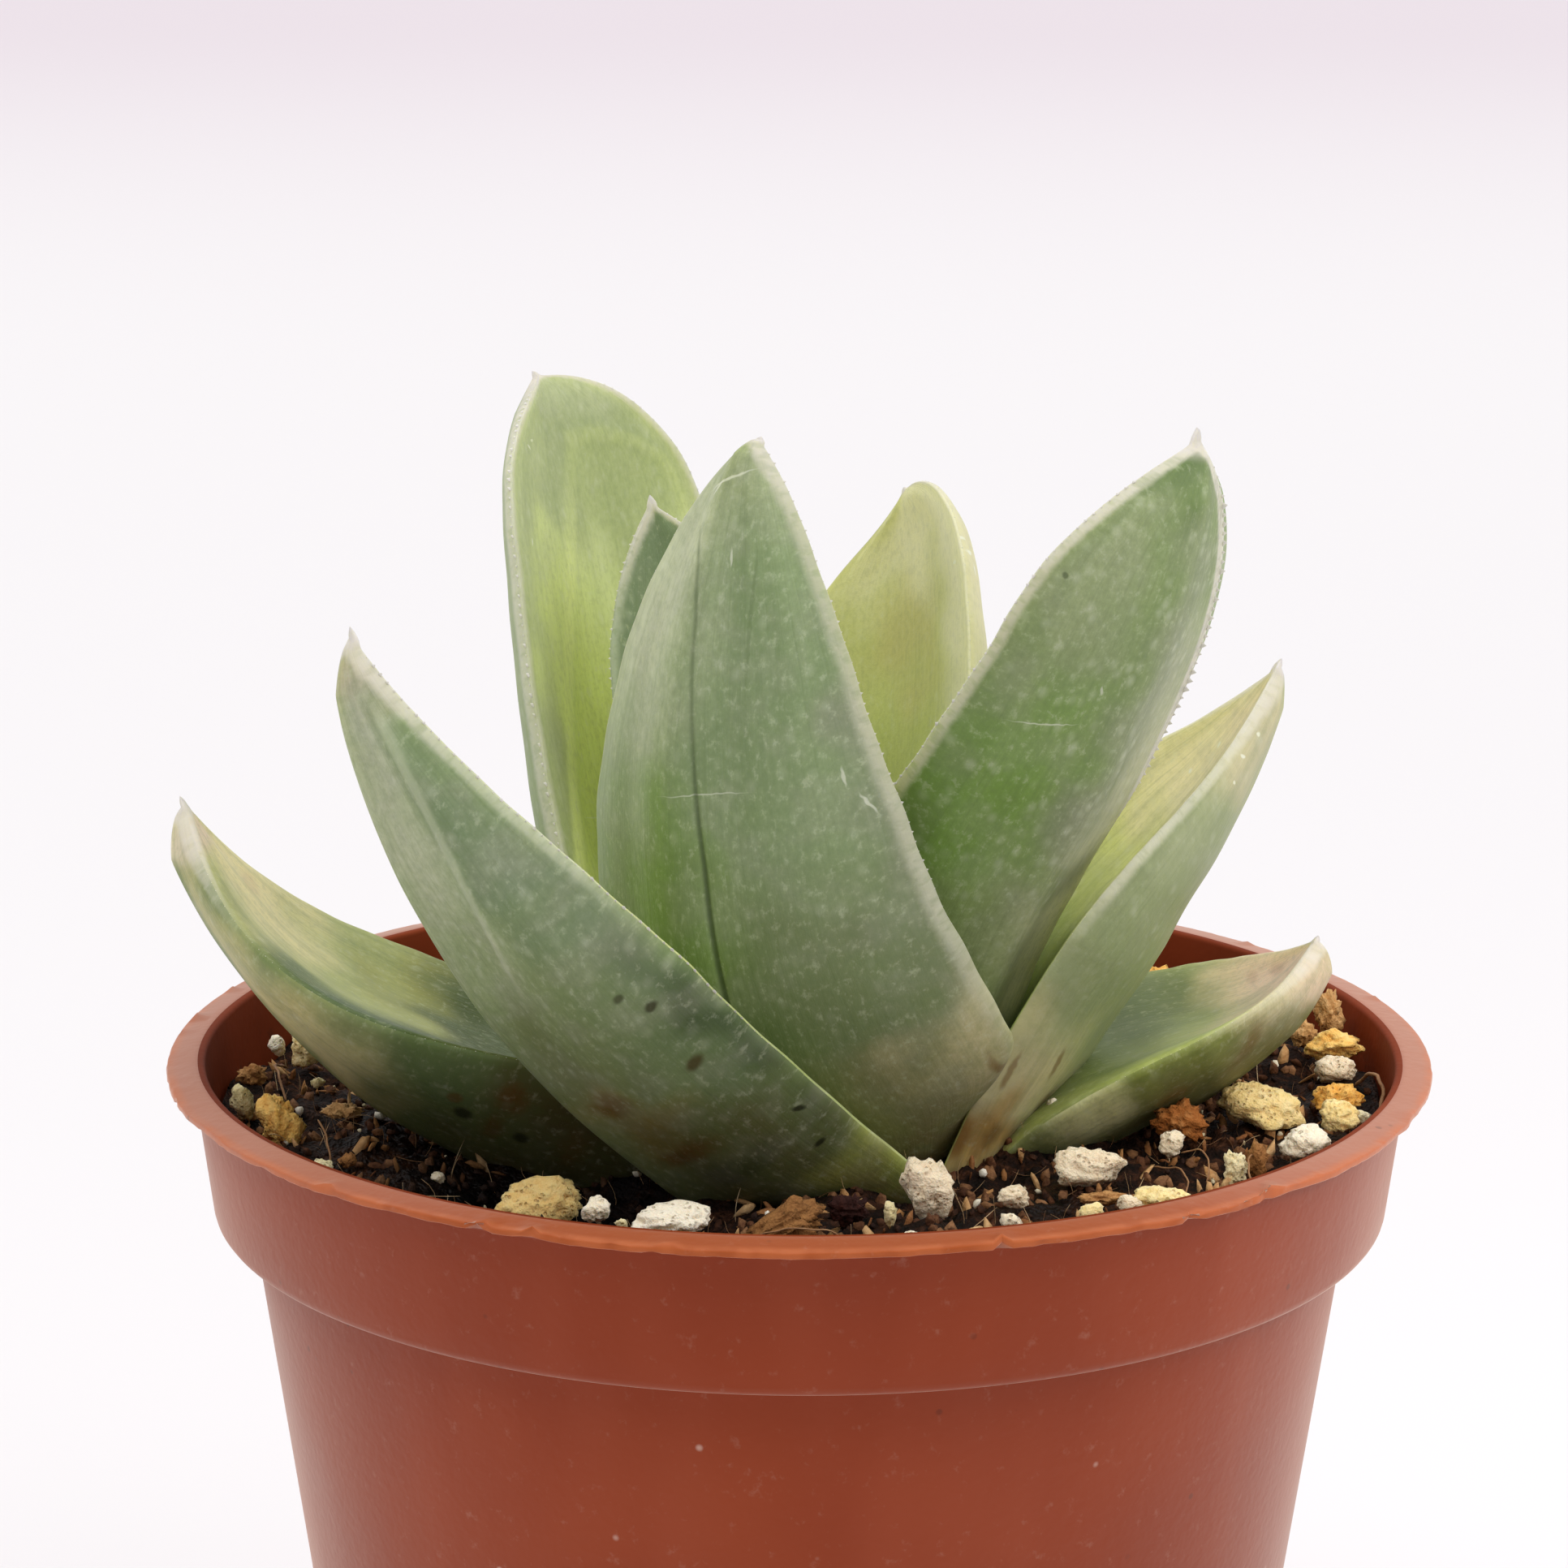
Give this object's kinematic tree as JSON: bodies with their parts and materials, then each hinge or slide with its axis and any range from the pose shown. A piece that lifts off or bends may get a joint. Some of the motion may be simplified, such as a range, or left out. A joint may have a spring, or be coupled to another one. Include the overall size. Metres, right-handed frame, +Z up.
{
  "type": "potted green ice gasteraloe",
  "caption": "Small succulent rosette of thick, pointed, toothed leaves, growing in bark and pumice soil in a round tapered plastic nursery pot.",
  "frame": {"origin": "middle of the pot's flat underside", "axes": "+Z up along the pot's axis; the plant's front, as it is looked at, faces -Y"},
  "size_m": [0.085, 0.085, 0.1167],
  "materials": {
    "pot_plastic": "thin moulded terracotta-red plastic, satin, dusty and lightly scratched",
    "soil": "dark peat with bark chips and grains of cream pumice and white perlite",
    "stem": "pale green-brown stem with a woody root stock",
    "leaf": "waxy grey-green succulent skin with faint lengthwise streaks, rows of pale dots and whitish toothed margins"
  },
  "bodies": {
    "root": {"pot": "pot_plastic", "soil": "soil", "stem": "stem", "leaf_front_left": "leaf", "leaf_right_low": "leaf", "leaf_left_low": "leaf", "leaf_right": "leaf", "leaf_rear_left": "leaf", "leaf_rear_right": "leaf", "leaf_front": "leaf", "leaf_front_right": "leaf", "leaf_back_left": "leaf", "leaf_back": "leaf", "leaf_young": "leaf"}
  },
  "joints": []
}
